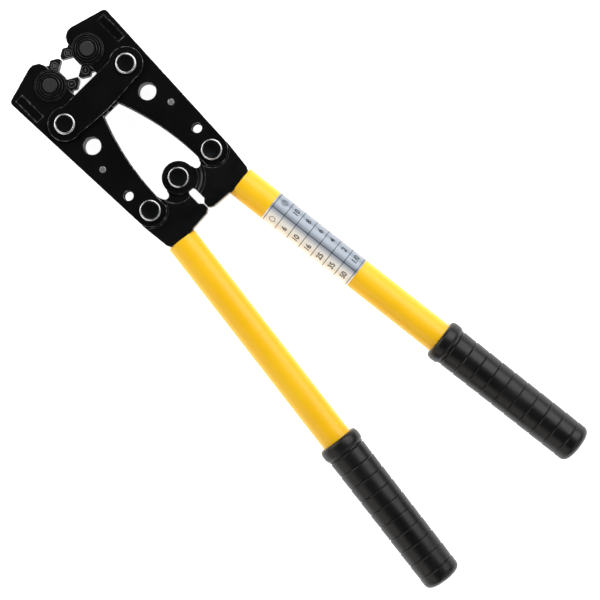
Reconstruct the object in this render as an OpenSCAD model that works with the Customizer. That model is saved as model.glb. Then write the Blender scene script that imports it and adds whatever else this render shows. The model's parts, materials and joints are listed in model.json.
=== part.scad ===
// Hand crimping tool for cable lugs, with a pair of hexagonal six-nest dies.
// Two jaws hang on a pair of link plates, and two long handles close them through a
// toggle: each handle head turns on its jaw's tail, and both heads meet at one bolt.
// The tool lies flat with its nose towards +Y and its front face up, standing on z = 0.

/* [Linkage] */
// Distance of each jaw pivot from the centreline
jaw_pivot_x = 25.2; // [25:0.1:25.4]
// Height of the jaw pivots along the tool
jaw_pivot_y = 69.7; // [69.5:0.1:70]
// Distance of each tail pivot from the centreline
tail_x = 25.35; // [25.2:0.05:25.5]
// Height of the tail pivots along the tool
tail_y = -1.45; // [-1.6:0.05:-1.3]
// Height of the centre pivot, just over the line between the tail pivots
centre_y = 0.95; // [0.8:0.05:1.1]
// How far a handle turns against its jaw from closed to fully open
handle_travel = 56.2; // [50:0.1:58]

/* [Plates] */
// Half thickness of the die and of the jaw core
core_half = 4; // [3.8:0.1:4]
// Thickness of one jaw cheek
cheek_t = 4; // [3.8:0.1:4.1]
// Thickness of one link plate
link_t = 2.5; // [2:0.1:2.5]
// Running gap between a jaw and a link plate
plate_gap = 0.15; // [0.1:0.01:0.2]
// Half thickness of a handle head
head_half = 8; // [7.8:0.1:8]
// Gap between each head's ear and the cheeks around it
ear_gap = 0.1; // [0.05:0.01:0.15]

/* [Dies] */
// Distance of a die's centre from the centreline
die_x = 15.3; // [15.25:0.05:15.4]
// Height of the die centres along the tool
die_y = 91.8; // [91.6:0.1:92]
// Distance from a die's centre to its flats
die_apothem = 15.05; // [14.8:0.05:15.05]
// Radius to which a die's six corners are trimmed
die_corner_r = 16.9; // [16.6:0.05:16.9]
// Width across flats of the largest nest
nest_max = 12.2; // [11.5:0.1:12.2]

/* [Pivots] */
// Radius of the jaw and tail pivot shanks
shank_r = 5; // [4.8:0.1:5]
// Radius of the pivot bolt heads
bolt_head_r = 6.2; // [6:0.1:6.6]
// Height of a bolt head over the plate it clamps
bolt_head_h = 2.35; // [2.2:0.05:2.35]
// Width across flats of the hexagon sockets
socket_af = 8; // [7.5:0.1:8]
// Radius of the centre bolt's shank
centre_shank_r = 4; // [3.8:0.1:4]
// Radial running clearance of a turning bore
run_clear = 0.05; // [0.03:0.01:0.08]

/* [Handles] */
// Outer radius of the handle tube
tube_r = 9.5; // [9.3:0.1:9.6]
// Wall of the handle tube
tube_wall = 1.5; // [1.4:0.1:1.6]
// Angle of each handle away from the centreline
handle_angle = 7; // [6.8:0.1:7.2]
// Distance of a tube's start from the centreline
tube_start_x = 24.45; // [24.3:0.05:24.6]
// Height of a tube's start along the tool
tube_start_y = -26.3; // [-26.4:0.05:-26.2]
// Length from the tube's start to the end of the grip
handle_len = 253.9; // [240:0.1:260]

/* [Grips] */
// Length of one rubber grip
grip_len = 104.6; // [100:0.1:108]
// Radius of the grip's body
grip_r = 11.85; // [11.6:0.05:12]
// Radius of the rim at the grip's mouth
grip_rim_r = 13; // [12.6:0.05:13]
// Number of grooves round the grip
groove_count = 10; // [6:1:10]
// Distance between grooves
groove_pitch = 9.5; // [9:0.1:9.5]

/* [Size chart] */
// Distance of the chart from the tube's start
chart_start = 22.9; // [15:0.1:40]
// Length of the chart along the tube
chart_len = 64.3; // [50:0.1:70]

/* [Hidden] */
$fn = 72;

// Places: the origin of the part lies under the middle of the closed tool.
middle_y = 86;
middle_z = 13;
jaw_pivot = [jaw_pivot_x, jaw_pivot_y];
tail_pivot = [tail_x, tail_y];
centre_pivot = [0, centre_y];
die_centre = [die_x, die_y];

// Layers, counted from the middle plane outwards.
cheek_top = core_half + cheek_t;
link_bottom = cheek_top + plate_gap;
link_top = link_bottom + link_t;
outer_top = link_top + bolt_head_h;
ear_half = core_half - ear_gap;
tail_bolt_top = cheek_top + bolt_head_h + 1.15;
centre_bolt_top = tail_bolt_top - cheek_t;

// Cheek outline.
lobe_centre = [16.45, 100.7];
lobe_r = 7.33;
nose_corner = [36.4, 99.5];
nose_corner_r = 3;
tail_r = 9.7;
throat_r = 163.5;
throat_x = 16.85;
step_y = 76;
axis_gap = 0.6;
lightening_hole = [22.8, 49.6];
lightening_r = 5.2;
hang_hole = [28.35, 13.8];
hang_r = 2.9;
rivet_at = [28.25, 35.4];
rivet_r = 1.8;
window_low = [31.2, 82.3];
window_size = [5, 17.3];

// Core outline and its rolling tooth.
core_end_y = 21;
core_top_y = 81.8;
core_inset = 0.8;
core_face = 0.35;
strip_x = 36.9;
die_room_r = 17.4;
tooth_r = 3.4;
socket_r = 3.75;

// Die nests for 50, 10, 35, 16, 25 and 6 mm2, as a share of the largest. Large and small
// ones take turns, which leaves enough steel in the corners between them.
nest_share = [1, 0.48, 0.84, 0.57, 0.7, 0.4];
die_pin_r = 5;
die_pin_end_r = 4.2;
collar_steps = [[9.6, 1], [8.7, 2], [7.2, 3.2], [5.7, 4.4]];

// Spring bar and leaf spring behind each die.
bar_x = 32.6;
bar_depth = 4;
bar_len = 16.6;
window_fit = 0.15;
cap_top = cheek_top - 0.8;
leaf_r = 16.4;
leaf_t = 0.5;
leaf_half = 3.5;

// Link plate outline.
link_boss_r = 10.15;
link_front_y = 77.7;
link_rear_y = 58.3;
link_rear_r = 178;

// Handle heads around the centre bolt.
ear_r = 9.3;
pocket_r = 10.3;
lobe_ear_r = 10;
lobe_ear_half = 4;
tongue_half = 2;
tongue_r = 8;
fork_half = tongue_half + ear_gap;
fork_r = 13;
recess_r = 10.9;
cove_floor_r = 11.8;
cove_r = head_half - lobe_ear_half;
notch_at = [13.2, -0.5];
notch_r = 2.5;
nose_face = 0.15;
slot_half = 2.3;
slot_top = -8.65;
tongue_slot_r = 4.9;
centre_play = 4.6;
play_angle = -23;
play_line = [cos(play_angle), sin(play_angle)];
spigot_len = 24;
spigot_r = tube_r - tube_wall - 0.05;
fixed_clear = 0.02;
// Straight edges run this far inside the arcs that they join, so that they cross cleanly.
graze = 0.02;

// Grip profile.
grip_start = handle_len - grip_len;
rim_len = 9.6;
groove_w = 1.3;
groove_d = 0.7;
grip_floor = 6.6;
grip_end_r = 3.2;

steel_black = [0.09, 0.09, 0.1];
steel_bare = [0.78, 0.78, 0.8];
paint_yellow = [0.98, 0.74, 0.03];
rubber_black = [0.06, 0.06, 0.06];
foil = [0.82, 0.84, 0.86];

// The two points where a line touches circles a and b, on the left going from a to b.
function tangent_points(a, ra, b, rb) =
    let (d = b - a, t = atan2(d[1], d[0]) + acos((ra - rb) / norm(d)))
    [a + ra * [cos(t), sin(t)], b + rb * [cos(t), sin(t)]];

// Lifts a part from the linkage's own frame to the frame of the whole tool.
module placed() {
    translate([0, middle_y, middle_z]) children();
}

// Mirrors a right-hand part to the left for side = -1.
module sided(side) {
    if (side > 0) children();
    else mirror([1, 0, 0]) children();
}

// A plate between two heights, on the front for face = 1 and on the rear for face = -1.
module layer(low, high, face = 1) {
    if (face > 0) translate([0, 0, low]) linear_extrude(high - low) children();
    else translate([0, 0, -high]) linear_extrude(high - low) children();
}

// Through drilling at a point of the plates.
module drill(at, r) {
    translate([at[0], at[1], -30]) cylinder(r = r, h = 60, $fn = r > 100 ? 360 : $fn);
}

// Local frame of a handle: z runs down the tube, y is the tool's front.
module along_handle(s = 0) {
    translate([tube_start_x, tube_start_y, 0])
        rotate([90, 0, handle_angle])
            translate([0, 0, s]) children();
}

module hex_socket(top, depth) {
    translate([0, 0, top - depth])
        cylinder(r = socket_af / sqrt(3), h = depth + 1, $fn = 6);
}

// Pivot bolt: head, plain shank and a thinner end that the nut closes over.
module pivot_bolt(head_low, head_high, r, end_r, socket_extra = 1.5) {
    difference() {
        union() {
            translate([0, 0, head_low]) cylinder(r = bolt_head_r, h = head_high - head_low);
            translate([0, 0, -head_low]) cylinder(r = r, h = 2 * head_low);
            translate([0, 0, -head_high + 0.4]) cylinder(r = end_r, h = head_high);
        }
        hex_socket(head_high, head_high - head_low + socket_extra);
    }
}

module round_nut(low, high, r, bore_r) {
    translate([0, 0, -high]) rotate_extrude()
        polygon([
            [bore_r, 0], [r - 0.7, 0], [r, 0.7], [r, high - low], [bore_r, high - low]
        ]);
}

module link_plate(face) {
    color(steel_black) placed() difference() {
        layer(link_bottom, link_top, face) union() {
            for (side = [-1, 1]) translate([side * jaw_pivot_x, jaw_pivot_y])
                circle(link_boss_r);
            intersection() {
                translate([0, link_rear_y + link_rear_r]) circle(link_rear_r, $fn = 360);
                polygon([
                    [-29.6, link_rear_y - 1], [29.6, link_rear_y - 1],
                    [29.6, jaw_pivot_y], [19, link_front_y],
                    [-19, link_front_y], [-29.6, jaw_pivot_y]
                ]);
            }
        }
        for (side = [-1, 1]) drill([side * jaw_pivot_x, jaw_pivot_y], shank_r + fixed_clear);
    }
}

module link_plate_front() {
    link_plate(1);
}

module link_plate_rear() {
    link_plate(-1);
}

module jaw_pivot_bolts() {
    color(steel_bare) placed() for (side = [-1, 1])
        translate([side * jaw_pivot_x, jaw_pivot_y, 0])
            pivot_bolt(link_top, outer_top, shank_r, shank_r - 1);
}

module jaw_pivot_nuts() {
    color(steel_bare) placed() for (side = [-1, 1])
        translate([side * jaw_pivot_x, jaw_pivot_y, 0])
            round_nut(link_top, outer_top, 7.8, shank_r - 1 + fixed_clear);
}

// Blank of a cheek: its straight edges and the discs that round its corners and tail.
module cheek_blank(low, high, face) {
    nose_edge = tangent_points(lobe_centre, lobe_r - graze, nose_corner, nose_corner_r - graze);
    outer_edge = tangent_points(nose_corner, nose_corner_r - graze, tail_pivot, tail_r - graze);
    inner_x = lobe_centre[0] - lobe_r + graze;
    layer(low, high, face) polygon([
        [axis_gap, tail_y], [axis_gap, step_y], [inner_x, step_y], [inner_x, lobe_centre[1]],
        nose_edge[0], nose_edge[1], outer_edge[0], outer_edge[1], tail_pivot
    ]);
    layer(low, high, face) translate(lobe_centre) circle(lobe_r);
    layer(low, high, face) translate(nose_corner) circle(nose_corner_r);
    layer(low, high, face) translate(tail_pivot) circle(tail_r);
}

module cheek(side, face) {
    color(steel_black) placed() sided(side) difference() {
        union() cheek_blank(core_half, cheek_top, face);
        drill([throat_x - throat_r, tail_y], throat_r);
        layer(0, 20, face) translate(window_low) square(window_size);
        drill(jaw_pivot, shank_r + run_clear);
        drill(tail_pivot, shank_r + fixed_clear);
        drill(die_centre, die_pin_r + fixed_clear);
        drill(rivet_at, rivet_r + fixed_clear);
        drill(lightening_hole, lightening_r);
        drill(hang_hole, hang_r);
    }
}

// Core between two cheeks. A tooth on the right one rolls in a socket in the left one.
module core(side) {
    color(steel_black) placed() sided(side) difference() {
        union() {
            difference() {
                layer(-core_half, core_half) polygon([
                    [9.6, core_end_y], [9.6, core_top_y], [strip_x, core_top_y],
                    [strip_x, 100.6], [38.6, 98.6], [35.4, core_end_y]
                ]);
                drill([throat_x - throat_r, tail_y], throat_r + core_inset);
                drill(die_centre, die_room_r);
            }
            layer(-core_half, core_half) polygon([
                [core_face, jaw_pivot_y], [1.75, link_rear_y - 0.6], [7.5, link_rear_y - 1],
                [12, 60], [12, 74], [7, step_y], [core_face, step_y]
            ]);
            if (side > 0)
                layer(-core_half, core_half) translate([0, jaw_pivot_y]) circle(tooth_r);
        }
        if (side < 0) drill([0, jaw_pivot_y], socket_r);
        drill(jaw_pivot, shank_r + run_clear);
        drill(rivet_at, rivet_r + fixed_clear);
        drill(lightening_hole, lightening_r);
    }
}

module rivet(side) {
    color(steel_bare) placed() sided(side) translate([rivet_at[0], rivet_at[1], 0])
        translate([0, 0, -cheek_top]) cylinder(r = rivet_r, h = 2 * cheek_top);
}

// Hexagonal die with half of a hexagonal nest in each of its six faces.
module die(side) {
    color(steel_black) placed() sided(side) translate([die_x, die_y, 0]) difference() {
        layer(-core_half + 0.05, core_half - 0.05) difference() {
            intersection() {
                rotate(30) circle(r = die_apothem / cos(30), $fn = 6);
                circle(die_corner_r);
            }
            for (i = [0:5]) rotate(180 - 60 * i) translate([die_x, 0])
                rotate(30) circle(r = nest_max * nest_share[i] / sqrt(3), $fn = 6);
        }
        drill([0, 0], die_pin_r + run_clear);
    }
}

module die_pin(side) {
    color(steel_bare) placed() sided(side) translate([die_x, die_y, 0]) {
        translate([0, 0, -cheek_top]) cylinder(r = die_pin_r, h = 2 * cheek_top);
        translate([0, 0, -outer_top]) cylinder(r = die_pin_end_r, h = 2 * outer_top);
    }
}

// Stepped collars pressed on both ends of a die pin.
module die_collars(side) {
    bore = die_pin_end_r + fixed_clear;
    steps = [
        for (i = [0:len(collar_steps) - 1]) each [
            [collar_steps[i][0], i == 0 ? 0 : collar_steps[i - 1][1]],
            collar_steps[i]
        ]
    ];
    color(steel_black) placed() sided(side) translate([die_x, die_y, 0])
        for (face = [0, 1]) mirror([0, 0, face]) translate([0, 0, cheek_top])
            rotate_extrude()
                polygon(concat([[bore, 0]], steps, [[bore, steps[len(steps) - 1][1]]]));
}

// Bar that backs a die's leaf spring, held by caps that fill the windows of both cheeks.
module spring_bar(side) {
    color(steel_black) placed() sided(side) {
        translate([bar_x, die_y - bar_len / 2, -core_half])
            cube([bar_depth, bar_len, 2 * core_half]);
        for (face = [0, 1]) mirror([0, 0, face])
            translate([window_low[0] + window_fit, window_low[1] + window_fit, core_half])
                cube([
                    window_size[0] - 2 * window_fit, window_size[1] - 2 * window_fit,
                    cap_top - core_half
                ]);
    }
}

// Bowed leaf spring whose belly rests on the die's flat.
module die_spring(side) {
    belly_x = die_x + die_apothem + 0.1;
    color(steel_bare) placed() sided(side) layer(-leaf_half, leaf_half) intersection() {
        translate([belly_x + leaf_r, die_y]) difference() {
            circle(leaf_r);
            circle(leaf_r - leaf_t);
        }
        translate([belly_x - 1, die_y - bar_len / 2])
            square([bar_x - belly_x + 1, bar_len]);
    }
}

module tail_bolt(side) {
    color(steel_bare) placed() sided(side) translate([tail_x, tail_y, 0])
        pivot_bolt(cheek_top, tail_bolt_top, shank_r, shank_r - 1);
}

module tail_nut(side) {
    color(steel_bare) placed() sided(side) translate([tail_x, tail_y, 0])
        round_nut(cheek_top, tail_bolt_top, 7.8, shank_r - 1 + fixed_clear);
}

// Outline shared by both heads, from the tail pivot to the tube's mouth.
module head_outline() {
    mouth = [
        for (u = [7, -8.6]) [tube_start_x, tube_start_y]
            + u * [cos(handle_angle), sin(handle_angle)]
    ];
    slot_end = [
        for (a = [0:15:75]) [0, slot_top - slot_half] + slot_half * [cos(a), sin(a)]
    ];
    difference() {
        union() {
            polygon(concat([
                tail_pivot, [34.6, -2.5], [35.2, -4.2], [33.1, -23], mouth[0], mouth[1],
                [14.9, -26.6], [3, -25.8], [0.9, -24.6], [nose_face, -23.4],
                [nose_face, -20.7], [1.4, -19.2], [slot_half, -18.6]
            ], slot_end, [
                [nose_face, slot_top], [nose_face, centre_y], [lobe_ear_r, centre_y],
                notch_at + [graze - notch_r, 0.1], notch_at + [notch_r - graze, 0.1]
            ]));
            translate(tail_pivot) circle(ear_r);
        }
        translate(notch_at) circle(notch_r);
    }
}

// Room cut into a head for the cheek that swings over it.
module cheek_pocket() {
    for (face = [-1, 1]) layer(ear_half, 20, face) {
        translate(tail_pivot) circle(pocket_r);
        translate(tail_pivot) rotate(-handle_travel) square([pocket_r - graze, 60]);
    }
}

module spigot() {
    along_handle(-1) cylinder(r = spigot_r, h = spigot_len + 1);
}

// Cutter that follows the centre bolt's play: two cylinders and the stretch between.
module play_cutter(r, low, high) {
    for (play = [0, centre_play])
        translate(concat(centre_pivot + play * play_line, low)) cylinder(r = r, h = high - low);
    translate([0, centre_y, low]) rotate(play_angle)
        translate([0, graze - r, 0]) cube([centre_play, 2 * (r - graze), high - low]);
}

// Right head: a fork of two thin lobes at the centre bolt, below a round cove that rises
// to the body.
module right_head() {
    color(steel_black) placed() difference() {
        union() {
            difference() {
                layer(-head_half, head_half) head_outline();
                for (face = [0, 1]) mirror([0, 0, face]) translate([0, centre_y, 0])
                    rotate_extrude() {
                        translate([0, lobe_ear_half]) square([cove_floor_r, 20]);
                        translate([cove_floor_r, head_half + 2 * graze]) circle(cove_r);
                    }
            }
            layer(-lobe_ear_half, lobe_ear_half) translate(centre_pivot) circle(lobe_ear_r);
            spigot();
        }
        cheek_pocket();
        drill(tail_pivot, shank_r + run_clear);
        layer(-fork_half, fork_half) translate(centre_pivot) circle(fork_r);
        drill(centre_pivot, centre_shank_r + fixed_clear);
    }
}

// Left head: a tongue for the fork, in a recess that takes the fork's lobes. The recess
// and the tongue's slot give the centre bolt the play that the coupled joints need.
module left_head() {
    color(steel_black) placed() sided(-1) difference() {
        union() {
            difference() {
                layer(-head_half, head_half) head_outline();
                for (face = [0, 1]) mirror([0, 0, face])
                    play_cutter(recess_r, tongue_half, 20);
            }
            layer(-tongue_half, tongue_half) translate(centre_pivot) circle(tongue_r);
            spigot();
        }
        cheek_pocket();
        drill(tail_pivot, shank_r + run_clear);
        play_cutter(tongue_slot_r, -20, 20);
    }
}

module tube(side) {
    color(paint_yellow) placed() sided(side) along_handle() difference() {
        cylinder(r = tube_r, h = handle_len - grip_floor);
        translate([0, 0, -1]) cylinder(r = tube_r - tube_wall, h = handle_len);
    }
}

// Rubber grip: rimmed mouth, grooved body and a closed end.
module grip(side) {
    grooves = [
        for (i = [0:groove_count - 1]) let (s = rim_len + i * groove_pitch) each [
            [grip_r, s], [grip_r - groove_d, s + 0.3],
            [grip_r - groove_d, s + groove_w - 0.3], [grip_r, s + groove_w]
        ]
    ];
    end_arc = [
        for (a = [0:15:90])
            [grip_r - grip_end_r * (1 - cos(a)), grip_len - grip_end_r * (1 - sin(a))]
    ];
    bore = tube_r + fixed_clear;
    color(rubber_black) placed() sided(side) along_handle(grip_start) rotate_extrude()
        polygon(concat(
            [
                [bore, 0], [grip_rim_r - 1, 0], [grip_rim_r - 0.3, 0.3], [grip_rim_r, 1],
                [grip_rim_r, 6], [grip_r + 0.1, 9]
            ],
            grooves, end_arc,
            [[0, grip_len], [0, grip_len - grip_floor], [bore, grip_len - grip_floor]]
        ));
}

// Foil chart of conductor sizes, wrapped over the front of the right tube.
module size_chart() {
    color(foil) placed() along_handle(chart_start) rotate([0, 0, -15])
        rotate_extrude(angle = 210) translate([tube_r + fixed_clear, 0])
            square([0.15, chart_len]);
}

module centre_bolt() {
    color(steel_bare) placed() translate([0, centre_y, 0])
        pivot_bolt(lobe_ear_half, centre_bolt_top, centre_shank_r, centre_shank_r - 1, -0.4);
}

module centre_nut() {
    color(steel_bare) placed() translate([0, centre_y, 0])
        round_nut(lobe_ear_half, centre_bolt_top, 7, centre_shank_r - 1 + fixed_clear);
}

link_plate_front();
link_plate_rear();
jaw_pivot_bolts();
jaw_pivot_nuts();
cheek(1, 1);  // right_cheek_front
cheek(1, -1);  // right_cheek_rear
core(1);  // right_core
rivet(1);  // right_rivet
die(1);  // right_die
die_pin(1);  // right_die_pin
die_collars(1);  // right_die_collars
spring_bar(1);  // right_spring_bar
die_spring(1);  // right_die_spring
tail_bolt(1);  // right_tail_bolt
tail_nut(1);  // right_tail_nut
right_head();
tube(1);  // right_tube
grip(1);  // right_grip
cheek(-1, 1);  // left_cheek_front
cheek(-1, -1);  // left_cheek_rear
core(-1);  // left_core
rivet(-1);  // left_rivet
die(-1);  // left_die
die_pin(-1);  // left_die_pin
die_collars(-1);  // left_die_collars
spring_bar(-1);  // left_spring_bar
die_spring(-1);  // left_die_spring
tail_bolt(-1);  // left_tail_bolt
tail_nut(-1);  // left_tail_nut
left_head();
tube(-1);  // left_tube
grip(-1);  // left_grip
centre_bolt();
centre_nut();
size_chart();
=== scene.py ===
# %% [markdown]
# # Hand crimper for cable lugs
# Two jaws hang on a pair of link plates and two long handles close them through a toggle.
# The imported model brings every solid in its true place, so this script only makes looks:
# broken edges, bolts with sockets, ribbed grips, the printed chart and every finish.
# Lengths are metres, and `mm` turns the maker's millimetres into them.

# %% Load the frame
import json
import math

import bmesh
import bpy
import numpy as np
from mathutils import Matrix, Vector

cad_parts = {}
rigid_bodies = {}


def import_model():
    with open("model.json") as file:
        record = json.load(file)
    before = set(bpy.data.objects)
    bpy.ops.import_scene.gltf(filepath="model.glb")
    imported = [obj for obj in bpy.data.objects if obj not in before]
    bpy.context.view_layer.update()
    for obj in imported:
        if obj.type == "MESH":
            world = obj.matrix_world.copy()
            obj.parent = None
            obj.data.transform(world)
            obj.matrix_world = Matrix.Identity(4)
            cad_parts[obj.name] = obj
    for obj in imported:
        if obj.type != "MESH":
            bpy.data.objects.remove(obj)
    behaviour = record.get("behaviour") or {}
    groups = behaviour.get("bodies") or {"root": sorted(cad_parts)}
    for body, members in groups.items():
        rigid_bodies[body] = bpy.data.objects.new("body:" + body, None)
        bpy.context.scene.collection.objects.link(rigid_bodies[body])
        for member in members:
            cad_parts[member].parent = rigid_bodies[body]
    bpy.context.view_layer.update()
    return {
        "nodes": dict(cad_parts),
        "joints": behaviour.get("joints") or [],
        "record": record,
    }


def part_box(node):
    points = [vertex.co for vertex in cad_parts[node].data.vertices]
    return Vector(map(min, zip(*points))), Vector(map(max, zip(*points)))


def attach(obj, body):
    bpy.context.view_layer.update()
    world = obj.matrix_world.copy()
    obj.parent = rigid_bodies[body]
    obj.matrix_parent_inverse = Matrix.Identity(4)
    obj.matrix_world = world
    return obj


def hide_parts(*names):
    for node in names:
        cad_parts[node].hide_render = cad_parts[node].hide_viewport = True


for leftover in list(bpy.data.objects):
    bpy.data.objects.remove(leftover)
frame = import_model()
RECORD = frame["record"]
BODY_OF = {n: body for body, nodes in RECORD["behaviour"]["bodies"].items() for n in nodes}
PIVOT = {joint["name"]: Vector(joint["pos_m"]) for joint in frame["joints"]}
SIDES = {"right": 1, "left": -1}


def mm(value):
    """Millimetres as metres."""
    return value / 1000


# %% [markdown]
# ## Where the handles run
# A handle is a straight tube turned a few degrees away from the middle, so nothing on it
# lines up with X or Y. Its direction could be typed in again, but the tube's own vertices
# already hold it: their longest principal direction is the tube's axis. From that comes a
# small frame per handle (down the tube, outwards across it, and up) that the grip and the
# chart are built in.

# %% Handle frames
def vertices(node):
    """Every different vertex of a CAD node."""
    co = np.array([v.co for v in frame["nodes"][node].data.vertices], float)
    return np.unique(np.round(co, 7), axis=0)


class Handle:
    """The straight line of one handle, with places given as distance, angle and radius."""

    def __init__(self, side):
        co = vertices(side + "_tube")
        middle = (co.min(0) + co.max(0)) / 2
        direction = np.linalg.svd(co - middle, full_matrices=False)[2][0]
        self.down = Vector(direction * -np.sign(direction[1]))
        self.front = Vector((0, 0, 1))
        self.out = self.front.cross(self.down) * SIDES[side]
        along = (co - middle) @ np.array(self.down)
        self.start = Vector(middle) + self.down * float(along.min())

    def at(self, distance, turn, radius):
        """A point `turn` radians from the front line, towards the outside."""
        spoke = self.out * math.sin(turn) + self.front * math.cos(turn)
        return self.start + self.down * distance + spoke * radius

    def span(self, node):
        """Where a node starts and ends along this handle."""
        along = (vertices(node) - np.array(self.start)) @ np.array(self.down)
        return float(along.min()), float(along.max())

    def radius(self, node):
        """The largest radius of a node around this handle."""
        offset = vertices(node) - np.array(self.start)
        flat = offset - np.outer(offset @ np.array(self.down), np.array(self.down))
        return float(np.linalg.norm(flat, axis=1).max())

    def matrix(self, distance):
        """Turns a mesh made along Z into one that runs down the handle."""
        axes = Matrix((self.out, self.down.cross(self.out), self.down)).transposed()
        return Matrix.Translation(self.start + self.down * distance) @ axes.to_4x4()


HANDLES = {side: Handle(side) for side in SIDES}
for side, handle in HANDLES.items():
    print(side, "handle from", [round(x * 1000, 2) for x in handle.start], "mm, grip",
          [round(x * 1000, 1) for x in handle.span(side + "_grip")])

# %% [markdown]
# ## Camera and light
# The tool lies flat and is seen from straight above, turned so that its nose points to the
# upper left. Black plates under soft light go grey if anything bright hangs right over
# them, so the sky above is kept dim and the light comes from long boxes low on the sides.
# A table that glows a little itself, as a light table does, keeps the floor evenly pale
# and draws a fine bright line along every rounded edge.

# %% Camera
MIDDLE_Z = PIVOT["right_jaw_turn"].z
camera_data = bpy.data.cameras.new("camera")
camera_data.sensor_width = 36
CAMERA_HEIGHT = 1.4
HALF_VIEW = 0.1772
VIEW_CENTRE_Y = -0.0146
VIEW_TURN = math.radians(-44.8)
camera_data.lens = camera_data.sensor_width / 2 * CAMERA_HEIGHT / HALF_VIEW
camera = bpy.data.objects.new("camera", camera_data)
camera.location = (0, VIEW_CENTRE_Y, MIDDLE_Z + CAMERA_HEIGHT)
camera.rotation_euler = (0, 0, VIEW_TURN)
bpy.context.scene.collection.objects.link(camera)
bpy.context.scene.camera = camera
bpy.context.scene.view_settings.view_transform = "Standard"
print("lens", round(camera_data.lens, 1), "mm")


# %% Light boxes
LIGHT_DISTANCE = 0.95


def light_box(name, azimuth, elevation, size, power, colour=(1, 1, 1)):
    """A soft box that looks at the tool, at an azimuth counted from +X towards +Y."""
    data = bpy.data.lights.new(name, "AREA")
    data.shape = "RECTANGLE"
    data.size, data.size_y = size
    data.energy = power
    data.color = colour
    lamp = bpy.data.objects.new(name, data)
    turn = math.radians(azimuth)
    lift = math.radians(elevation)
    place = Vector((math.cos(turn) * math.cos(lift), math.sin(turn) * math.cos(lift),
                    math.sin(lift))) * LIGHT_DISTANCE
    lamp.location = place + Vector((0, 0, MIDDLE_Z))
    lamp.rotation_mode = "QUATERNION"
    lamp.rotation_quaternion = (-place).to_track_quat("-Z", "Y")
    bpy.context.scene.collection.objects.link(lamp)


light_box("key_box", 10, 40, (1.2, 0.8), 10.5)
light_box("fill_box", 190, 28, (1.2, 0.7), 3.2, (1, 0.95, 0.88))
light_box("nose_box", 112, 30, (0.9, 0.4), 4.5)
light_box("tail_box", 280, 28, (0.9, 0.4), 1.6)

# %% Sky
world = bpy.data.worlds.new("studio")
world.use_nodes = True
bpy.context.scene.world = world
sky = world.node_tree.nodes["Background"]
backdrop = world.node_tree.nodes.new("ShaderNodeBackground")
backdrop.inputs["Color"].default_value = (1, 1, 1, 1)
seen = world.node_tree.nodes.new("ShaderNodeLightPath")
choose = world.node_tree.nodes.new("ShaderNodeMixShader")
sky.inputs["Color"].default_value = (0.9, 0.95, 1, 1)
sky.inputs["Strength"].default_value = 0.05
world.node_tree.links.new(seen.outputs["Is Camera Ray"], choose.inputs["Fac"])
world.node_tree.links.new(sky.outputs[0], choose.inputs[1])
world.node_tree.links.new(backdrop.outputs[0], choose.inputs[2])
world.node_tree.links.new(choose.outputs[0], world.node_tree.nodes["World Output"].inputs[0])

# %% [markdown]
# ## Writing nodes as sums
# A finish is mostly arithmetic on noise: a worn edge is a noise, sharpened, times a
# colour. Typed out as nodes and links that takes pages, so one small class wraps a
# socket and lets Python's own operators add the Math nodes. The same class writes the
# Geometry Nodes further down, because both kinds of tree share the Math node.

# %% The wire class
class Wire:
    """An output socket that can be added, multiplied and passed on."""

    def __init__(self, tree, socket):
        self.tree = tree
        self.socket = socket

    def node(self, kind, settings=(), inputs=(), output=0):
        """Adds a node: its settings first, then the values or links of its sockets."""
        made = self.tree.nodes.new(kind)
        for name, value in dict(settings).items():
            setattr(made, name, value)
        for name, value in dict(inputs).items():
            socket = made.inputs[name]
            if isinstance(value, Wire):
                self.tree.links.new(value.socket, socket)
            else:
                socket.default_value = value
        return Wire(self.tree, made.outputs[output])

    def math(self, operation, *others):
        """One Math node, with this wire as its first value."""
        return self.node("ShaderNodeMath", {"operation": operation},
                         enumerate((self, *others)))

    def __add__(self, other):
        return self.math("ADD", other)

    def __sub__(self, other):
        return self.math("SUBTRACT", other)

    def __mul__(self, other):
        return self.math("MULTIPLY", other)

    def __truediv__(self, other):
        return self.math("DIVIDE", other)

    def __pow__(self, other):
        return self.math("POWER", other)

    def __lt__(self, other):
        return self.math("LESS_THAN", other)

    def __gt__(self, other):
        return self.math("GREATER_THAN", other)

    def __rsub__(self, other):
        return self * -1 + other

    __radd__ = __add__
    __rmul__ = __mul__

    def fade(self, low, high):
        """0 below `low`, 1 above `high`, and a soft step between."""
        return self.node("ShaderNodeMapRange", {"interpolation_type": "SMOOTHSTEP"},
                         {"Value": self, "From Min": low, "From Max": high})


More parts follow.
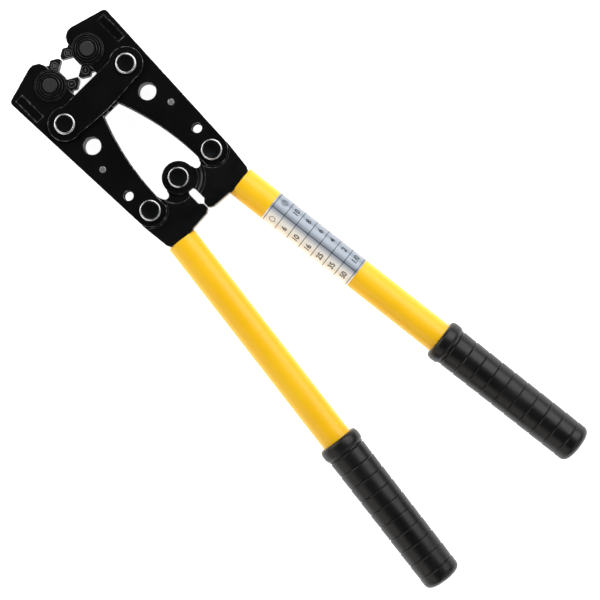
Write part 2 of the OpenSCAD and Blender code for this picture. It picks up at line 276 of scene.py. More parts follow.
class Finish:
    """A Principled material whose varying sockets are written as sums of wires."""

    def __init__(self, name, **fixed):
        self.material = bpy.data.materials.new(name)
        self.material.use_nodes = True
        self.tree = self.material.node_tree
        self.shader = self.tree.nodes["Principled BSDF"]
        for socket, value in fixed.items():
            self.shader.inputs[socket.replace("_", " ")].default_value = value
        self.object = self.any("ShaderNodeTexCoord", output="Object")

    def any(self, kind, settings=(), inputs=(), output=0):
        return Wire(self.tree, None).node(kind, settings, inputs, output)

    def noise(self, size, detail=3, stretch=None, turn=0):
        """Noise whose grains are about `size` metres across, drawn out by `stretch`."""
        where = self.object
        if stretch:
            where = self.any("ShaderNodeMapping", {},
                             {"Vector": where, "Rotation": (0, 0, turn), "Scale": stretch})
        return self.any("ShaderNodeTexNoise", {},
                        {"Vector": where, "Scale": 1 / size, "Detail": detail})

    def attribute(self, name, output="Fac"):
        return self.any("ShaderNodeAttribute", {"attribute_name": name}, output=output)

    def mix(self, factor, first, second):
        return self.any("ShaderNodeMix", {"data_type": "RGBA"},
                        {0: factor, 6: first, 7: second}, output=2)

    def feed(self, **sockets):
        for name, wire in sockets.items():
            self.tree.links.new(wire.socket, self.shader.inputs[name.replace("_", " ")])

    def bump(self, height, depth):
        """Raises the surface by `height` times `depth` metres."""
        made = self.any("ShaderNodeBump", {},
                        {"Height": height, "Distance": depth, "Strength": 1.0})
        self.feed(Normal=made)


def rgb(red, green, blue):
    return (red, green, blue, 1)


# %% [markdown]
# ## The pale table
# The floor isn't part of the tool. It is a white sheet that gives off a little light, so
# that the thin shadow under the tool stays soft.

# %% Floor
paper = Finish("white_table", Roughness=0.9, Emission_Strength=1.0)
paper_tone = paper.noise(0.4).fade(0.2, 0.8)
paper.feed(Base_Color=paper.mix(paper_tone, rgb(0.86, 0.86, 0.86), rgb(0.9, 0.9, 0.9)),
           Emission_Color=paper.mix(paper_tone, rgb(0.94, 0.94, 0.94), rgb(0.96, 0.96, 0.96)))
floor_mesh = bpy.data.meshes.new("floor")
FLOOR_HALF = 12
floor_mesh.from_pydata([(-FLOOR_HALF, -FLOOR_HALF, 0), (FLOOR_HALF, -FLOOR_HALF, 0),
                        (FLOOR_HALF, FLOOR_HALF, 0), (-FLOOR_HALF, FLOOR_HALF, 0)],
                       [], [(0, 1, 2, 3)])
floor_mesh.materials.append(paper.material)
floor = bpy.data.objects.new("floor", floor_mesh)
bpy.context.scene.collection.objects.link(floor)

# %% [markdown]
# ## Black plate, core and die steel
# The plates are stamped steel with a semi-gloss black coat. Near by it isn't one black:
# the coat pools in a fine grain, hands polish it in soft patches, and every cut edge has
# been rubbed until grey steel shows. The patches change only the roughness. The grain
# gives the bump and barely changes the colour, because black stays black. The edges get a
# finish of their own on the faces that the Bevel modifier makes, so wear sits on the edges.

# %% Plate finishes
def black_coat(name, tone, shine, grain, mirror=0.08):
    """Semi-gloss black over steel, with a fine grain and polished patches."""
    coat = Finish(name, Specular_IOR_Level=mirror)
    patches = coat.noise(mm(14), 4).fade(0.35, 0.7)
    speckle = coat.noise(mm(0.35), 2).fade(0.3, 0.75)
    coat.feed(Base_Color=coat.mix(speckle, rgb(tone, tone, tone * 1.04),
                                  rgb(tone * 1.7, tone * 1.7, tone * 1.8)),
              Roughness=shine - patches * 0.09 + speckle * 0.05)
    coat.bump(speckle + coat.noise(mm(1.6), 2) * 0.6, grain)
    return coat.material


def worn_edge(name, bare, share):
    """Black coat rubbed through to steel: `share` of the edge is bare."""
    edge = Finish(name, Specular_IOR_Level=0.4)
    rubbed = edge.noise(mm(3), 5).fade(1 - share - 0.12, 1 - share + 0.12)
    edge.feed(Base_Color=edge.mix(rubbed, rgb(0.012, 0.012, 0.013), rgb(bare, bare, bare * 1.02)),
              Metallic=rubbed * 0.9,
              Roughness=0.3 + edge.noise(mm(0.5), 2) * 0.16)
    return edge.material


PLATE = black_coat("black_plate", 0.0018, 0.42, mm(0.006))
HEAD = black_coat("black_head", 0.0015, 0.3, mm(0.004), mirror=0.3)
CORE = black_coat("oiled_core", 0.0015, 0.45, mm(0.008), mirror=0.05)
COLLAR = black_coat("black_collar", 0.0025, 0.34, mm(0.003))
PLATE_EDGE = worn_edge("rubbed_plate_edge", 0.32, 0.42)
HEAD_EDGE = worn_edge("rubbed_head_edge", 0.2, 0.4)
COLLAR_EDGE = worn_edge("rubbed_collar_edge", 0.12, 0.42)


# %% Die steel
def die_steel():
    """Hardened steel, blackened and then ground: faint straight grinding lines."""
    steel = Finish("ground_die_steel", Specular_IOR_Level=0.2)
    lines = steel.noise(mm(0.9), 3, (1, 14, 1), 0.5).fade(0.3, 0.7)
    blotch = steel.noise(mm(6), 4).fade(0.35, 0.75)
    steel.feed(Base_Color=steel.mix(blotch, rgb(0.004, 0.004, 0.0045), rgb(0.011, 0.011, 0.012)),
               Metallic=blotch * 0.2,
               Roughness=0.36 + lines * 0.1)
    steel.bump(lines, mm(0.006))
    return steel.material


DIE = die_steel()
DIE_EDGE = worn_edge("rubbed_die_edge", 0.5, 0.62)

# %% [markdown]
# ## Turned steel
# Bolt rims, nuts, pins and rivets are bare steel off a lathe. The cutter leaves rings
# round each one's own axis. Object coordinates can't draw rings round many axes, so the
# Geometry Nodes that make the bolts store each point's distance from its own axis in an
# attribute, `lathe`, and the finish draws its rings from that.

# %% Turned finishes
def turned_steel(name, tone, rough, pitch, depth):
    """Bare steel with tool marks `pitch` metres apart and `depth` metres deep."""
    steel = Finish(name, Metallic=1.0)
    haze = steel.noise(mm(2.4), 4).fade(0.3, 0.75)
    fine = steel.noise(mm(0.25), 2)
    marks = (steel.attribute("lathe") * (2 * math.pi / pitch)).math("SINE")
    steel.feed(Base_Color=steel.mix(haze, rgb(tone, tone, tone * 1.01),
                                    rgb(tone * 0.8, tone * 0.79, tone * 0.78)),
               Roughness=rough + haze * 0.1 + fine * 0.06)
    steel.bump(marks * 0.5 + fine * 0.4, depth)
    return steel.material


BRIGHT = turned_steel("turned_steel", 0.86, 0.22, mm(0.22), mm(0.0012))
PIN = turned_steel("pin_steel", 0.5, 0.3, mm(0.3), mm(0.005))
PIN_FACE = turned_steel("blackened_pin_face", 0.1, 0.34, mm(0.35), mm(0.004))
SPRING = turned_steel("spring_steel", 0.45, 0.25, mm(0.5), mm(0.002))
RECESS = black_coat("blackened_recess", 0.002, 0.17, mm(0.0005), mirror=0.9)

# %% [markdown]
# ## Enamel, rubber, foil and ink
# The tubes are enamelled: a clear glossy skin over a warm yellow, with the faint
# orange-peel of sprayed paint. The grips are satin rubber with a moulded grain and a grey
# bloom where hands have been. The chart is brushed foil with one row printed in a cool
# grey and the other in cream, and painted shade darkens the cream row in a soft band up
# to the centre line. Gloss comes from Coat Weight and Roughness.

# %% Enamel
def enamel():
    """Sprayed yellow enamel with a cloudy tone, fine dust and orange-peel."""
    paint = Finish("yellow_enamel", Coat_Roughness=0.3, Specular_IOR_Level=0.3)
    cloud = paint.noise(mm(30), 3).fade(0.3, 0.7)
    dust = paint.noise(mm(0.5), 2).fade(0.62, 0.72)
    peel = paint.noise(mm(1.5), 2)
    colour = paint.mix(cloud, rgb(0.98, 0.54, 0.003), rgb(1.0, 0.58, 0.006))
    paint.feed(Base_Color=paint.mix(dust * 0.12, colour, rgb(0.6, 0.3, 0.01)),
               Roughness=0.42 + cloud * 0.08,
               Coat_Weight=0.3 - dust * 0.1)
    paint.bump(peel, mm(0.02))
    return paint.material


ENAMEL = enamel()


# %% Rubber
def rubber():
    """Moulded black rubber with a fine grain and a grey bloom."""
    skin = Finish("grip_rubber", Specular_IOR_Level=0.32)
    bloom = skin.noise(mm(20), 4).fade(0.3, 0.75)
    grain = skin.noise(mm(0.28), 2)
    pits = skin.noise(mm(0.9), 3).fade(0.35, 0.65)
    skin.feed(Base_Color=skin.mix(bloom, rgb(0.0035, 0.0035, 0.0038), rgb(0.006, 0.006, 0.0063)),
              Roughness=0.3 + bloom * 0.08 + pits * 0.04)
    skin.bump(grain + pits * 0.5, mm(0.01))
    return skin.material


RUBBER = rubber()


# %% Foil and ink
def foil():
    """Brushed foil under a clear film. `across` is the distance outwards from its middle."""
    sheet = Finish("chart_foil", Coat_Roughness=0.12)
    brushed = sheet.noise(mm(0.5), 3, (1, 6, 1), math.radians(7)).fade(0.25, 0.75)
    across = sheet.attribute("across")
    outer = across.fade(0, mm(0.05))
    # Painted shade: the cream row is darkened in a soft band up to the centre line.
    painted_shade_band = across.fade(mm(-4.5), mm(0.6)) * (1 - outer)
    cool = sheet.mix(brushed, rgb(0.25, 0.29, 0.345), rgb(0.35, 0.39, 0.45))
    cream = sheet.mix(brushed, rgb(0.93, 0.90, 0.85), rgb(0.97, 0.94, 0.90))
    cream_with_painted_shade = sheet.mix(painted_shade_band, cream, rgb(0.22, 0.26, 0.33))
    sheet.feed(Base_Color=sheet.mix(outer, cream_with_painted_shade, cool),
               Metallic=0.05 + outer * 0.2,
               Roughness=0.34 + brushed * 0.12,
               Coat_Weight=0.25 + brushed * 0.1)
    sheet.bump(brushed, mm(0.004))
    return sheet.material


def ink(name, tone, cover):
    """Printed or filled colour, thinner in places."""
    print_ink = Finish(name, Specular_IOR_Level=0.4)
    thin = print_ink.noise(mm(0.3), 2).fade(0.3, 0.8)
    print_ink.feed(Base_Color=print_ink.mix(thin, tone, cover), Roughness=0.35 + thin * 0.15)
    return print_ink.material


FOIL = foil()
CHART_INK = ink("chart_ink", rgb(0.0015, 0.002, 0.004), rgb(0.006, 0.007, 0.012))
MARK_FILL = ink("mark_fill", rgb(0.2, 0.2, 0.205), rgb(0.1, 0.1, 0.103))
print(len(bpy.data.materials), "materials")

# %% [markdown]
# ## Breaking the edges
# No real plate has a perfectly sharp edge, and it is the small rounding that catches light
# and shows where a plate ends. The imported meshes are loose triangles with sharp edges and
# must not be changed, so a copy is made, its triangles are merged and the flat ones
# dissolved, and a Bevel modifier rounds what is left. Its faces take the second material,
# the worn one.

# %% Copies with broken edges
TURN_AXES = [PIVOT[name].xy for name in PIVOT] + [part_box("centre_bolt")[0].xy.lerp(
    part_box("centre_bolt")[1].xy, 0.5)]
TURN_AXES += [sum(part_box(side + "_rivet"), Vector()).xy / 2 for side in SIDES]
WELD = mm(0.035)
CREASE = math.radians(30)
EDGE_ROUNDS = 2


def store_lathe(mesh):
    """Writes each vertex's distance from the nearest turned axis."""
    values = [min((v.co.xy - axis).length for axis in TURN_AXES) for v in mesh.vertices]
    mesh.attributes.new("lathe", "FLOAT", "POINT").data.foreach_set("value", values)


def smooth(mesh):
    """Smooth shading with the sharp edges kept."""
    mesh.shade_smooth()
    mesh.set_sharp_from_angle(angle=CREASE)


def put(name, mesh, body, stands_for=()):
    """Makes the mesh a piece that rides on a body."""
    piece = bpy.data.objects.new(name, mesh)
    bpy.context.scene.collection.objects.link(piece)
    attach(piece, body)
    if stands_for:
        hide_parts(*stands_for)
    return piece


def merged_copy(node, flatten=True):
    """A clean mesh of a CAD node: welded, with its flat triangles dissolved."""
    sheet = bmesh.new()
    sheet.from_mesh(frame["nodes"][node].data)
    bmesh.ops.remove_doubles(sheet, verts=sheet.verts, dist=WELD)
    if flatten:
        bmesh.ops.dissolve_limit(sheet, angle_limit=math.radians(0.5), verts=sheet.verts,
                                 edges=sheet.edges)
    mesh = bpy.data.meshes.new(node + "_mesh")
    sheet.to_mesh(mesh)
    sheet.free()
    if "custom_normal" in mesh.attributes:
        mesh.attributes.remove(mesh.attributes["custom_normal"])
    return mesh


def broken_edges(node, finish, edge_finish, width):
    """Shows a node as a copy whose sharp edges are rounded and worn."""
    mesh = merged_copy(node)
    mesh.materials.clear()
    mesh.materials.append(finish)
    mesh.materials.append(edge_finish)
    mesh.polygons.foreach_set("material_index", [0] * len(mesh.polygons))
    store_lathe(mesh)
    smooth(mesh)
    piece = put(node + "_worn", mesh, BODY_OF[node], [node])
    rounding = piece.modifiers.new("broken edges", "BEVEL")
    rounding.width = width
    rounding.segments = EDGE_ROUNDS
    rounding.limit_method = "ANGLE"
    rounding.angle_limit = CREASE
    rounding.material = 1
    rounding.use_clamp_overlap = False
    rounding.harden_normals = True


# %% Plates, cores, dies and small steel parts
for name in ("link_plate_front", "link_plate_rear"):
    broken_edges(name, PLATE, PLATE_EDGE, mm(0.3))
for side in SIDES:
    for face in ("front", "rear"):
        broken_edges(f"{side}_cheek_{face}", PLATE, PLATE_EDGE, mm(0.35))
    broken_edges(side + "_head", HEAD, HEAD_EDGE, mm(0.4))
    broken_edges(side + "_core", CORE, PLATE_EDGE, mm(0.2))
    broken_edges(side + "_die", DIE, DIE_EDGE, mm(0.15))
    broken_edges(side + "_die_collars", COLLAR, COLLAR_EDGE, mm(0.15))
    broken_edges(side + "_spring_bar", CORE, PLATE_EDGE, mm(0.3))
    broken_edges(side + "_rivet", PIN, BRIGHT, mm(0.2))
    broken_edges(side + "_die_pin", PIN_FACE, COLLAR_EDGE, mm(0.3))
    broken_edges(side + "_die_spring", SPRING, BRIGHT, mm(0.1))
    broken_edges(side + "_tail_nut", PIN, BRIGHT, mm(0.15))
    broken_edges(side + "_tube", ENAMEL, ENAMEL, mm(0.3))
broken_edges("jaw_pivot_nuts", PIN, BRIGHT, mm(0.15))
broken_edges("centre_nut", PIN, BRIGHT, mm(0.15))

# %% [markdown]
# ## Surfaces turned on a lathe
# Bolts and grips are both turned shapes: a radius and a height for each station along
# the axis. In Geometry Nodes a grid can be read as angle across and station along, and
# Set Position then rolls it up. Sums of wires give the radius and height, so the shape
# stays a rule that can be changed by its inputs.

# %% Lathe in Geometry Nodes
class Shape:
    """A Geometry Nodes tree with named inputs, whose result is baked to a plain mesh."""

    def __init__(self, name, **inputs):
        self.tree = bpy.data.node_groups.new(name, "GeometryNodeTree")
        self.tree.interface.new_socket("Geometry", in_out="INPUT",
                                       socket_type="NodeSocketGeometry")
        self.tree.interface.new_socket("Geometry", in_out="OUTPUT",
                                       socket_type="NodeSocketGeometry")
        self.keys = {}
        for label, value in inputs.items():
            socket = self.tree.interface.new_socket(label, in_out="INPUT",
                                                    socket_type="NodeSocketFloat")
            socket.default_value = value
            self.keys[label] = (socket.identifier, value)
        self.group = self.tree.nodes.new("NodeGroupInput")
        self.base = Wire(self.tree, self.group.outputs["Geometry"])

    def value(self, label):
        return Wire(self.tree, self.group.outputs[label])

    def any(self, kind, settings=(), inputs=(), output=0):
        return Wire(self.tree, None).node(kind, settings, inputs, output)

    def pick(self, index, values):
        """The value that stands at `index` in a list of numbers and wires."""
        chosen = self.any("GeometryNodeIndexSwitch", {"data_type": "FLOAT"}, {})
        switch = chosen.socket.node
        while len(switch.index_switch_items) < len(values):
            switch.index_switch_items.new()
        self.tree.links.new(index.socket, switch.inputs["Index"])
        for number, value in enumerate(values):
            socket = switch.inputs[number + 1]
            if isinstance(value, Wire):
                self.tree.links.new(value.socket, socket)
            else:
                socket.default_value = value
        return chosen

    def lathe(self, sides, stations, profile):
        """Rolls up a grid. `profile` gives radius and height wires from the station number."""
        grid = self.any("GeometryNodeMeshGrid", {},
                        {"Size X": 1, "Size Y": stations - 1,
                         "Vertices X": sides + 1, "Vertices Y": stations})
        place = self.any("GeometryNodeInputPosition")
        across = self.any("ShaderNodeSeparateXYZ", {}, {0: place})
        along = self.any("ShaderNodeSeparateXYZ", {}, {0: place}, output=1)
        angle = across * (2 * math.pi)
        station = (along + (stations - 1) / 2).math("ROUND")
        radius, height = profile(station)
        rolled = self.any("ShaderNodeCombineXYZ", {},
                          {0: radius * angle.math("COSINE"),
                           1: radius * angle.math("SINE"), 2: height})
        moved = self.any("GeometryNodeSetPosition", {}, {"Geometry": grid, "Position": rolled})
        closed = self.any("GeometryNodeMergeByDistance", {},
                          {"Geometry": moved, "Distance": mm(0.002)})
        return closed

    def bake(self, name, base, **inputs):
        """Runs the tree on a base mesh and returns the plain mesh that it makes."""
        maker = bpy.data.objects.new(name + "_maker", base)
        bpy.context.scene.collection.objects.link(maker)
        modifier = maker.modifiers.new("shape", "NODES")
        modifier.node_group = self.tree
        for label, (key, value) in self.keys.items():
            modifier[key] = float(inputs.get(label, value))
        graph = bpy.context.evaluated_depsgraph_get()
        mesh = bpy.data.meshes.new_from_object(maker.evaluated_get(graph), depsgraph=graph)
        mesh.name = name
        bpy.data.objects.remove(maker)
        smooth(mesh)
        return mesh

    def finish(self, geometry):
        out = self.tree.nodes.new("NodeGroupOutput")
        self.tree.links.new(geometry.socket, out.inputs[0])


# %% [markdown]
# ## Pivot bolts
# Each pivot bolt has a low round head: a bare rounded rim, a dished blackened face inside
# it and a hexagon socket in the middle. All five differ only in the sizes that the tree
# takes as inputs. A lathe rolls up the head and shank, Booleans cut the socket and the
# cone that the drill left at its bottom, and the bolt is instanced on the points of a
# base mesh. Each mesh that comes out belongs to one body. A fixed seed turns every socket
# to its own angle.

# %% Bolt tree
bolt = Shape("pivot_bolt", head=mm(6.2), rim=mm(0.55), high=mm(2.35), dish=mm(0.9),
             shank=mm(5), length=mm(20), socket=mm(4.6), depth=mm(3.2), seed=3)
RIM_STEPS = 8


def bolt_profile(station):
    """From the shank's end up the outside, over the rim and down to the dish's middle."""
    head, rim, high = bolt.value("head"), bolt.value("rim"), bolt.value("high")
    shank, length = bolt.value("shank"), bolt.value("length")
    turn = (station - 5) * (math.pi / RIM_STEPS)
    on_rim = (station > 4.5) * (station < RIM_STEPS + 5.5)
    rim_r = head - rim + rim * turn.math("COSINE")
    rim_z = high - rim + rim * turn.math("SINE")
    plain_r = bolt.pick(station, [0, shank - mm(1), shank, shank, head]
                        + [0] * (RIM_STEPS + 1) + [bolt.value("socket") + mm(0.25), 0])
    plain_z = bolt.pick(station, [0 - length, 0 - length, mm(1) - length, 0, 0]
                        + [0] * (RIM_STEPS + 1) + [high - bolt.value("dish")] * 2)
    return (rim_r * on_rim + plain_r * (1 - on_rim), rim_z * on_rim + plain_z * (1 - on_rim))


TURNED_SIDES = 96
CUTTER_LEN = mm(12)
turned = bolt.lathe(TURNED_SIDES, RIM_STEPS + 8, bolt_profile)
cutter = bolt.any("GeometryNodeMeshCylinder", {},
                  {"Vertices": 6, "Radius": bolt.value("socket"), "Depth": CUTTER_LEN})
cutter_low = bolt.any("ShaderNodeCombineXYZ", {},
                      {2: bolt.value("high") - bolt.value("depth") + CUTTER_LEN / 2})
cutter_placed = bolt.any("GeometryNodeTransform", {},
                         {"Geometry": cutter, "Translation": cutter_low})
cut = bolt.any("GeometryNodeMeshBoolean", {"operation": "DIFFERENCE"},
               {"Mesh 1": turned, "Mesh 2": cutter_placed})
DRILL_CONE = mm(1.3)
drill_tip = bolt.any("GeometryNodeMeshCone", {},
                     {"Vertices": 48, "Radius Top": bolt.value("socket") * 0.85,
                      "Radius Bottom": 0, "Depth": DRILL_CONE})
tip_low = bolt.any("ShaderNodeCombineXYZ", {},
                   {2: bolt.value("high") - bolt.value("depth") - DRILL_CONE * 0.98})
tip_placed = bolt.any("GeometryNodeTransform", {},
                      {"Geometry": drill_tip, "Translation": tip_low})
drilled = bolt.any("GeometryNodeMeshBoolean", {"operation": "DIFFERENCE"},
                   {"Mesh 1": cut, "Mesh 2": tip_placed})
spot = bolt.any("GeometryNodeInputPosition")
reach = bolt.any("ShaderNodeVectorMath", {"operation": "LENGTH"}, {0: bolt.any(
    "ShaderNodeVectorMath", {"operation": "MULTIPLY"}, {0: spot, 1: (1, 1, 0)})}, output=1)
level = bolt.any("ShaderNodeSeparateXYZ", {}, {0: spot}, output=2)
ringed = bolt.any("GeometryNodeStoreNamedAttribute", {"data_type": "FLOAT"},
                  {"Geometry": drilled, "Name": "lathe", "Value": reach})
in_dish = (reach < bolt.value("head") - bolt.value("rim") * 1.5) * (level > mm(0.05))
in_socket = ((reach < bolt.value("socket") * 1.01)
             * (level > bolt.value("high") - bolt.value("depth") - DRILL_CONE * 1.1))
inside = in_dish.math("MAXIMUM", in_socket)
steel_all = bolt.any("GeometryNodeSetMaterial", {}, {"Geometry": ringed, "Material": BRIGHT})
black_in = bolt.any("GeometryNodeSetMaterial", {},
                    {"Geometry": steel_all, "Selection": inside, "Material": RECESS})
spun = bolt.any("FunctionNodeRandomValue", {"data_type": "FLOAT_VECTOR"},
                {"Min": (0, 0, 0), "Max": (0, 0, 2 * math.pi), "Seed": bolt.value("seed")})
many = bolt.any("GeometryNodeInstanceOnPoints", {},
                {"Points": bolt.base, "Instance": black_in, "Rotation": spun})
bolt.finish(bolt.any("GeometryNodeRealizeInstances", {}, {"Geometry": many}))


# %% Bolts on their bodies
def points(name, places):
    """A base mesh with one vertex at each place."""
    mesh = bpy.data.meshes.new(name)
    mesh.from_pydata([tuple(p) for p in places], [], [])
    return mesh


CHEEK_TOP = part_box("right_cheek_front")[1].z
LINK_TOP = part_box("link_plate_front")[1].z


def bolts(node, name, centres, seat, **sizes):
    """Replaces a CAD bolt node by dished socket bolts that stand on height `seat`."""
    low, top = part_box(node)
    mesh = bolt.bake(name, points(name + "_places", [(*c, seat) for c in centres]),
                     high=top.z - seat, length=seat - low.z, **sizes)
    put(name, mesh, BODY_OF[node], [node])
    print(name, len(mesh.polygons), "faces")


bolts("jaw_pivot_bolts", "jaw_pivot_socket_bolts",
      [PIVOT[side + "_jaw_turn"].xy for side in SIDES], LINK_TOP, rim=mm(0.75))
for side in SIDES:
    bolts(side + "_tail_bolt", side + "_tail_socket_bolt",
          [PIVOT[side + "_handle_turn"].xy], CHEEK_TOP, rim=mm(0.55), dish=mm(1.1),
          depth=mm(4.2), seed=5 + SIDES[side])
EAR_TOP = mm(17)
bolts("centre_bolt", "centre_socket_bolt", [TURN_AXES[len(PIVOT)]], EAR_TOP, rim=mm(0.55),
      shank=mm(4), dish=mm(1.1), depth=mm(3.1), seed=9)

# %% [markdown]
# ## Rubber grips
# A grip is a sleeve with a rounded bead at its mouth, a row of even segments with a narrow
# groove between each pair, and a domed end. Every part of that is a rule of the distance
# along the sleeve, so the whole grip is one lathe: bead, grooves and dome are sums of the
# distance, the pitch of the grooves stays an input, and their count is a fixed number.

# %% Grip tree
BEAD_LEN = mm(8.6)
LIP_DROP = mm(1.1)
GROOVE_START = mm(9.6)
GROOVES = 10
END_WALL = mm(6.6)
MOUTH_EASE = mm(0.6)
grip = Shape("ribbed_grip", length=mm(104.6), body=mm(11.85), bead=mm(13), bore=mm(9.52),
             dome=mm(5.2), groove=mm(0.42), depth=mm(0.42), crown=mm(0.09),
             pitch=mm(9.5))
INNER_ROWS, BODY_ROWS, DOME_ROWS = 3, 440, 14


def grip_profile(station):
    """Bore, lip and bead at the mouth, grooved body, and a dome that closes the end."""
    length, body, bead = grip.value("length"), grip.value("body"), grip.value("bead")
    dome, pitch = grip.value("dome"), grip.value("pitch")
    row = (station - INNER_ROWS).math("MAXIMUM", 0)
    distance = (row / BODY_ROWS).math("MINIMUM", 1) * (length - dome)
    off_middle = (distance * (2 / BEAD_LEN) - 1).math("ABSOLUTE").math("MINIMUM", 1)
    bulge = (1 - off_middle ** 2.6).math("SQRT")
    bead_r = body - LIP_DROP + (bead - body + LIP_DROP) * bulge
    mouth = distance < BEAD_LEN / 2
    phase = (distance - GROOVE_START) / pitch
    nearest = phase.math("ROUND").math("MAXIMUM", 0).math("MINIMUM", GROOVES - 1)
    gap = ((phase - nearest) * pitch).math("ABSOLUTE")
    cut = 1 - gap.fade(grip.value("groove") * 0.45, grip.value("groove") * 1.5)
    lean = 1 - phase.math("FRACT") * 2
    crown = grip.value("crown") * lean * distance.fade(GROOVE_START - mm(0.6), GROOVE_START)
    outer_r = (bead_r * mouth + bead_r.math("MAXIMUM", body) * (1 - mouth)
               - cut * grip.value("depth") + crown)
    turn = (row - BODY_ROWS).math("MAXIMUM", 0) * (math.pi / 2 / DOME_ROWS)
    dome_r = outer_r * turn.math("COSINE").math("MAXIMUM", 0) ** 0.6
    dome_z = distance + dome * turn.math("SINE") ** 0.85
    inside = station < INNER_ROWS - 0.5
    in_r = grip.pick(station, [0, grip.value("bore"), grip.value("bore"), 0])
    in_z = grip.pick(station, [length - END_WALL, length - END_WALL, MOUTH_EASE, 0])
    return in_r * inside + dome_r * (1 - inside), in_z * inside + dome_z * (1 - inside)


sleeve = grip.lathe(TURNED_SIDES, INNER_ROWS + BODY_ROWS + DOME_ROWS + 1, grip_profile)
skinned = grip.any("GeometryNodeSetMaterial", {}, {"Geometry": sleeve, "Material": RUBBER})
grip.finish(grip.any("GeometryNodeRealizeInstances", {}, {"Geometry": skinned}))

# %% Grips on their handles
for side, handle in HANDLES.items():
    node = side + "_grip"
    low, high = handle.span(node)
    mesh = grip.bake(side + "_ribbed_grip", bpy.data.meshes.new("grip_base"),
                     length=high - low, bead=handle.radius(node))
    mesh.transform(handle.matrix(low))
    put(side + "_ribbed_grip", mesh, BODY_OF[node], [node])
    print(side, "grip", len(mesh.polygons), "faces")

# %% [markdown]
# ## Size chart
# The chart is a foil wrapped over the front of the right tube, ruled into seven columns
# and two rows. Conductor sizes stand in the cells, and a hexagon and a ring of strands
# head the two rows. Print follows the foil's curve, so it is drawn flat first, as distance
# across and distance down, cut into narrow strips, and then rolled around the tube's axis.
# Rolling plain text without the strips would leave flat chords that sink into the foil.

# %% Foil on the tube
CHART = HANDLES["right"]
CHART_R = CHART.radius("size_chart")
CHART_LOW, CHART_HIGH = CHART.span("size_chart")
chart_mesh = merged_copy("size_chart", flatten=False)
chart_mesh.materials.clear()
chart_mesh.materials.append(FOIL)
across = [(v.co - CHART.start).dot(CHART.out) for v in chart_mesh.vertices]
chart_mesh.attributes.new("across", "FLOAT", "POINT").data.foreach_set("value", across)
smooth(chart_mesh)
put("size_chart_foil", chart_mesh, BODY_OF["size_chart"], ["size_chart"])


# %% Flat print
def bar(sheet, x0, y0, x1, y1):
    """A flat rectangle of print."""
    sheet.faces.new([sheet.verts.new((x, y, 0)) for x, y in
                     ((x0, y0), (x1, y0), (x1, y1), (x0, y1))])


def ring(sheet, x, y, radius, width, sides=36, turn=0):
    """A flat ring, or the outline of a polygon."""
    loops = [[sheet.verts.new((x + r * math.cos(turn + 2 * math.pi * i / sides),
                               y + r * math.sin(turn + 2 * math.pi * i / sides), 0))
              for i in range(sides)] for r in (radius - width, radius)]
    for i in range(sides):
        j = (i + 1) % sides
        sheet.faces.new((loops[0][i], loops[1][i], loops[1][j], loops[0][j]))


def figures(sheet, text, x, y, height, squeeze=1.0, turn=0.0, flip=1):
    """Numbers as flat mesh, `height` tall and centred on (x, y)."""
    curve = bpy.data.curves.new("figures", "FONT")
    curve.body = text
    curve.align_x = "CENTER"
    curve.align_y = "CENTER"
    curve.size = height / 0.7
    curve.resolution_u = 4
    curve.offset = height * 0.03
    writer = bpy.data.objects.new("figures", curve)
    bpy.context.scene.collection.objects.link(writer)
    graph = bpy.context.evaluated_depsgraph_get()
    mesh = bpy.data.meshes.new_from_object(writer.evaluated_get(graph))
    co = np.array([v.co for v in mesh.vertices])
    centre = Vector((co.min(0) + co.max(0)) / 2)
    mesh.transform(Matrix.Translation((x, y, 0)) @ Matrix.Diagonal((flip, 1, 1, 1))
                   @ Matrix.Rotation(turn, 4, "Z") @ Matrix.Diagonal((squeeze, 1, 1, 1))
                   @ Matrix.Translation(-centre))
    sheet.from_mesh(mesh)
    bpy.data.objects.remove(writer)
    bpy.data.curves.remove(curve)
    bpy.data.meshes.remove(mesh)


INK_THICKNESS = mm(0.02)


def printed(name, sheet, place, finish, node):
    """Moves flat print to its place and gives it the thickness of a coat of ink."""
    bmesh.ops.remove_doubles(sheet, verts=sheet.verts, dist=mm(0.002))
    bmesh.ops.triangulate(sheet, faces=sheet.faces)
    for face in sheet.faces:
        if face.normal.z < 0:
            face.normal_flip()
    for vertex in sheet.verts:
        vertex.co = place(vertex.co)
    mesh = bpy.data.meshes.new(name)
    sheet.to_mesh(mesh)
    sheet.free()
    mesh.materials.clear()
    mesh.materials.append(finish)
    mesh.polygons.foreach_set("material_index", [0] * len(mesh.polygons))
    piece = put(name, mesh, BODY_OF[node])
    coat = piece.modifiers.new("ink", "SOLIDIFY")
    coat.thickness = INK_THICKNESS
    coat.offset = 1
    return piece


# %% Chart print
COLUMNS = 7
MARGIN = mm(1.2)
LINE_HALF = mm(0.2)
TABLE_START = CHART_LOW + MARGIN
TABLE_END = CHART_HIGH - MARGIN
COLUMN = (CHART_HIGH - CHART_LOW - 2 * MARGIN) / COLUMNS
ROW_REACH = math.radians(78) * CHART_R
FIGURE_X = math.radians(39) * CHART_R
FIGURE_HEIGHT = mm(3.5)
HEX_RADIUS, HEX_LINE = mm(2.1), mm(0.35)
CABLE_RADIUS, CABLE_LINE = mm(2.2), mm(0.28)
STRANDS, STRAND_REACH = 7, mm(1.25)
STRAND_RADIUS, STRAND_LINE = mm(0.5), mm(0.2)
OUTER_SIZES = ["10", "8", "6", "4", "2", "1/0"]
INNER_SIZES = ["6", "10", "16", "25", "35", "50"]
print_sheet = bmesh.new()
for i in range(COLUMNS + 1):
    y = TABLE_START + i * COLUMN
    bar(print_sheet, -ROW_REACH, y - LINE_HALF, ROW_REACH, y + LINE_HALF)
bar(print_sheet, -LINE_HALF, TABLE_START, LINE_HALF, TABLE_END)
for x, sizes in ((FIGURE_X, OUTER_SIZES), (-FIGURE_X, INNER_SIZES)):
    for i, size in enumerate(sizes):
        y = TABLE_START + (i + 1.5) * COLUMN
        figures(print_sheet, size, x, y, FIGURE_HEIGHT, squeeze=0.95, turn=math.pi, flip=-1)
head_y = TABLE_START + COLUMN / 2
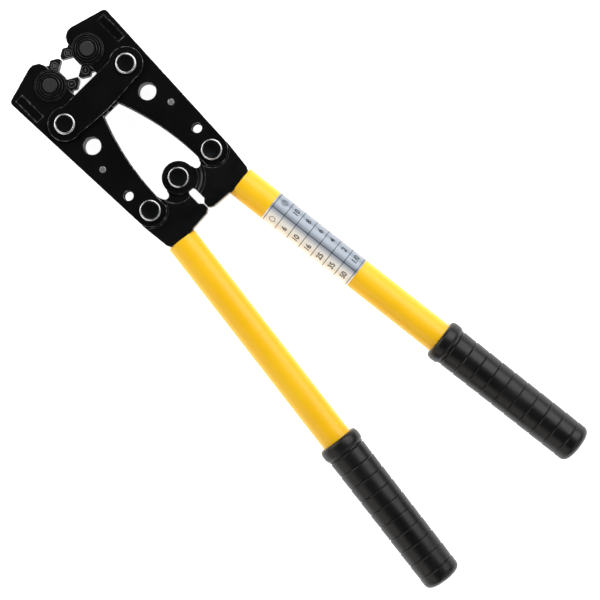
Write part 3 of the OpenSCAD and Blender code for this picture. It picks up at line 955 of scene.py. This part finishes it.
ring(print_sheet, -FIGURE_X, head_y, HEX_RADIUS, HEX_LINE, sides=6, turn=math.pi / 6)
ring(print_sheet, FIGURE_X, head_y, CABLE_RADIUS, CABLE_LINE)
for i in range(STRANDS):
    strand = STRAND_REACH if i else 0
    ring(print_sheet, FIGURE_X + strand * math.cos(i * math.pi / 3),
         head_y + strand * math.sin(i * math.pi / 3), STRAND_RADIUS, STRAND_LINE, sides=12)
STRIP = mm(0.35)
PRINT_LIFT = mm(0.02)
for i in range(-int(ROW_REACH / STRIP), int(ROW_REACH / STRIP) + 1):
    bmesh.ops.bisect_plane(print_sheet, geom=print_sheet.verts[:] + print_sheet.edges[:]
                           + print_sheet.faces[:], plane_co=(i * STRIP, 0, 0),
                           plane_no=(1, 0, 0))


def on_foil(flat):
    return CHART.at(flat.y, flat.x / CHART_R, CHART_R + PRINT_LIFT)


printed("size_chart_print", print_sheet, on_foil, CHART_INK, "size_chart")
print("chart with", COLUMNS, "columns of", round(COLUMN * 1000, 2), "mm")

# %% [markdown]
# ## Numbers on the dies
# A die is turned until the wanted nest faces its twin, so the steel between two nests
# carries the size of one of them in a circle. They are drawn flat on both faces of the
# die, thin enough to pass under the cheeks as the die turns.

# %% Die numbers
NEST_SIZES = ["50", "10", "35", "16", "25", "6"]
NEST_SHARES = [1, 0.48, 0.84, 0.57, 0.7, 0.4]
LARGEST_NEST = mm(12.2)
MARK_RADIUS = mm(2.3)
MARK_REACH = mm(12.1)
MARK_LINE = mm(0.3)
MARK_HEIGHT = mm(2.0)
MARK_LIFT = mm(0.002)
FIRST_CORNER = 150


def nest_turn(k, apothem):
    """How far nest `k` reaches to either side of its face's middle, as an angle."""
    half_width = LARGEST_NEST * NEST_SHARES[k % len(NEST_SHARES)] / math.sqrt(3)
    return math.atan(half_width / apothem)


for side, mirror in SIDES.items():
    axis = PIVOT[side + "_die_turn"]
    low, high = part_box(side + "_die")
    apothem = (high.x - low.x) / 2
    for face, z, up in (("front", high.z, 1), ("rear", low.z, -1)):
        marks = bmesh.new()
        for k, size in enumerate(NEST_SIZES):
            lean = (nest_turn(k + 1, apothem) - nest_turn(k, apothem)) / 2
            corner = math.radians(FIRST_CORNER - 60 * k) + lean
            corner = corner if mirror > 0 else math.pi - corner
            x = axis.x + MARK_REACH * math.cos(corner)
            y = axis.y + MARK_REACH * math.sin(corner)
            ring(marks, x, y, MARK_RADIUS, MARK_LINE)
            figures(marks, size, x, y, MARK_HEIGHT, squeeze=0.85,
                    turn=(corner - math.pi / 2) * up, flip=up)

        def on_die(flat, z=z, up=up):
            return Vector((flat.x, flat.y, z + up * MARK_LIFT))

        piece = printed(f"{side}_die_numbers_{face}", marks, on_die, MARK_FILL, side + "_die")
        if up < 0:
            piece.data.flip_normals()
print(len(NEST_SIZES), "sizes on each die")
